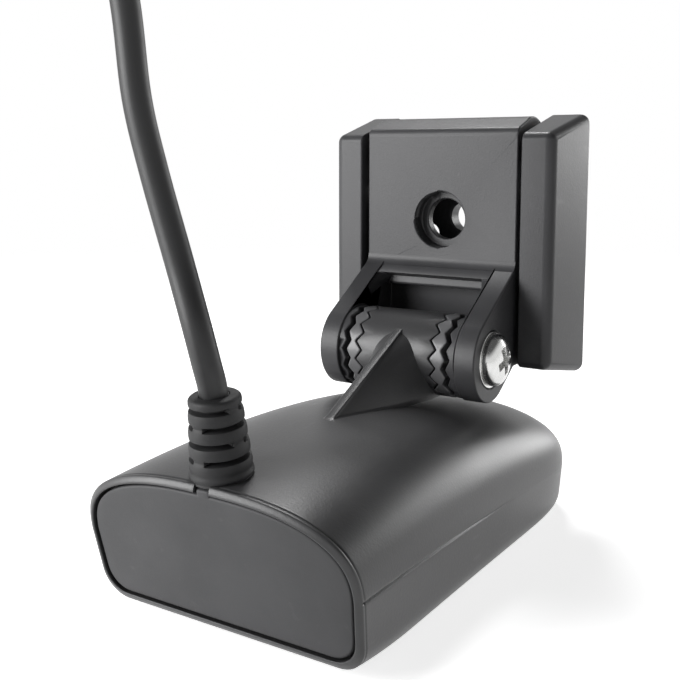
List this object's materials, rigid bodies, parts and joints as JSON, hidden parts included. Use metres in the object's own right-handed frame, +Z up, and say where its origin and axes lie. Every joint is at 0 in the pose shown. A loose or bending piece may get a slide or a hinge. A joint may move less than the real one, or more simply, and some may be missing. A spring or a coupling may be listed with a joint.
{
  "type": "sonar transducer",
  "caption": "Transom-mount sonar transducer: a potted skimmer pod on a toothed ratchet pivot, a kick-up bracket with slotted web, and a booted cable that ends in a round plug.",
  "frame": {"origin": "middle of the flat sounding face on the underside of the pod", "axes": "+Z up from the sounding face, +Y from the aft end cap towards the transom, X along the pivot bolt"},
  "size_m": [0.0806, 0.313, 0.1558],
  "materials": {
    "housing_plastic": "satin moulded",
    "cap_plastic": "fine matt texture",
    "potting_resin": "cast resin",
    "piezo_ceramic": "ground",
    "backing_cork": "cork",
    "stainless": "bright stainless",
    "lead_wire": "tinned copper",
    "boot_rubber": "moulded",
    "cable_jacket": "smooth jacket",
    "ratchet_plastic": "moulded",
    "arm_plastic": "moulded",
    "bracket_plastic": "moulded",
    "tie_strap": "strap",
    "plug_plastic": "moulded",
    "insert_plastic": "moulded",
    "pin_metal": "plated"
  },
  "bodies": {
    "pod": {"housing": "housing_plastic", "end_cap": "cap_plastic", "potting": "potting_resin", "line_crystal": "piezo_ceramic", "line_backing": "backing_cork", "disc_crystal": "piezo_ceramic", "disc_backing": "backing_cork", "temperature_bead": "stainless", "element_leads": "lead_wire", "cable_boot": "boot_rubber", "cable_tail": "cable_jacket", "ratchet_left": "ratchet_plastic", "ratchet_right": "ratchet_plastic", "cable": "cable_jacket", "cable_hank": "cable_jacket", "cable_lead_out": "cable_jacket", "hank_ties": "tie_strap", "plug_shell": "plug_plastic", "plug_collar": "plug_plastic", "plug_insert": "insert_plastic", "plug_pins": "pin_metal", "plug_boot": "boot_rubber"},
    "arm": {"pivot_arm": "arm_plastic", "pivot_bolt": "stainless", "bolt_washer": "stainless", "lock_nut": "stainless"},
    "bracket": {"mounting_bracket": "bracket_plastic"}
  },
  "joints": [
    {"name": "tilt", "type": "hinge", "parent": "pod", "child": "arm", "pos_m": [0, 0.024, 0.0448], "axis": [1, 0, 0], "range_deg": [-15, 75]},
    {"name": "kick_up", "type": "hinge", "parent": "arm", "child": "bracket", "pos_m": [0, 0.048, 0.095], "axis": [1, 0, 0], "range_deg": [0, 75]}
  ]
}
